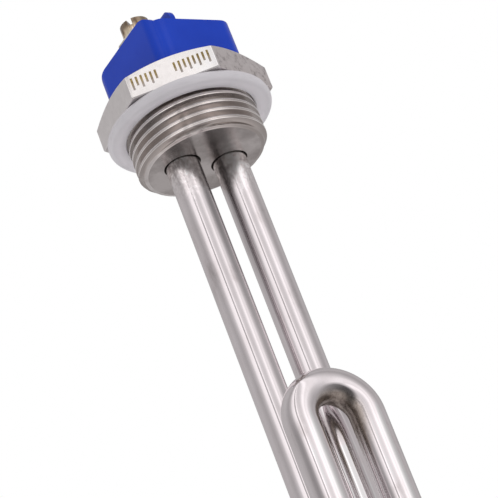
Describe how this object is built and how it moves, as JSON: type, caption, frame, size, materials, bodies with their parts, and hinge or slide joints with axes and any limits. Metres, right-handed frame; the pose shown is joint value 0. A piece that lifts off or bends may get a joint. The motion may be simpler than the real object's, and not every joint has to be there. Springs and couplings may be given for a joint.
{
  "type": "screw plug immersion heater",
  "caption": "Hexagonal screw plug with a folded round metal heating tube below its thread, a sealing ring, and a moulded terminal block with slotted clamp screws on top.",
  "frame": {"origin": "centre of the thread on the sealing plane, where the gasket's underside meets the tank's boss", "axes": "+Z along the thread's axis towards the terminals, so the heating tube hangs down -Z; two faces of the hexagon look along +Y and -Y and two of its corners lie on X"},
  "size_m": [0.044, 0.0418, 0.3111],
  "materials": {
    "plated_plug": "matte plated steel",
    "gasket": "smooth pale grey rubber",
    "steel_tube": "polished stainless",
    "powder": "pressed white powder",
    "coil_wire": "drawn wire",
    "pin_steel": "drawn steel",
    "seal_rubber": "cast silicone",
    "bushing_ceramic": "unglazed ceramic",
    "braze": "melted filler metal",
    "blue_block": "satin moulded plastic",
    "plate_brass": "stamped brass",
    "washer_steel": "plated steel",
    "screw_brass": "turned brass"
  },
  "bodies": {
    "heater": {"screw_plug": "plated_plug", "sealing_gasket": "gasket", "heating_tube": "steel_tube", "insulating_powder": "powder", "resistance_coil": "coil_wire", "cold_pin_left": "pin_steel", "cold_pin_right": "pin_steel", "end_seal_left": "seal_rubber", "end_seal_right": "seal_rubber", "end_bushing_left": "bushing_ceramic", "end_bushing_right": "bushing_ceramic", "braze_ring_left": "braze", "braze_ring_right": "braze", "terminal_block": "blue_block", "terminal_plate_left": "plate_brass", "terminal_plate_right": "plate_brass"},
    "washer_left": {"clamp_washer_left": "washer_steel"},
    "screw_left": {"terminal_screw_left": "screw_brass"},
    "washer_right": {"clamp_washer_right": "washer_steel"},
    "screw_right": {"terminal_screw_right": "screw_brass"}
  },
  "joints": [
    {"name": "washer_slide_left", "type": "slide", "parent": "heater", "child": "washer_left", "axis": [0, 0, 1], "range_m": [-0.0035, 0.0021]},
    {"name": "screw_turn_left", "type": "hinge", "parent": "washer_left", "child": "screw_left", "pos_m": [-0.00411, -0.00352, 0.0315], "axis": [0, 0, 1], "range_deg": [-1800, 1080]},
    {"name": "washer_slide_right", "type": "slide", "parent": "heater", "child": "washer_right", "axis": [0, 0, 1], "range_m": [-0.0035, 0.0021]},
    {"name": "screw_turn_right", "type": "hinge", "parent": "washer_right", "child": "screw_right", "pos_m": [0.00491, 0.00352, 0.0315], "axis": [0, 0, 1], "range_deg": [-1800, 1080]}
  ],
  "couplings": [
    {"joint": "screw_turn_left", "follows": "washer_slide_left", "rad_per_m": 8975.9},
    {"joint": "screw_turn_right", "follows": "washer_slide_right", "rad_per_m": 8975.9}
  ]
}
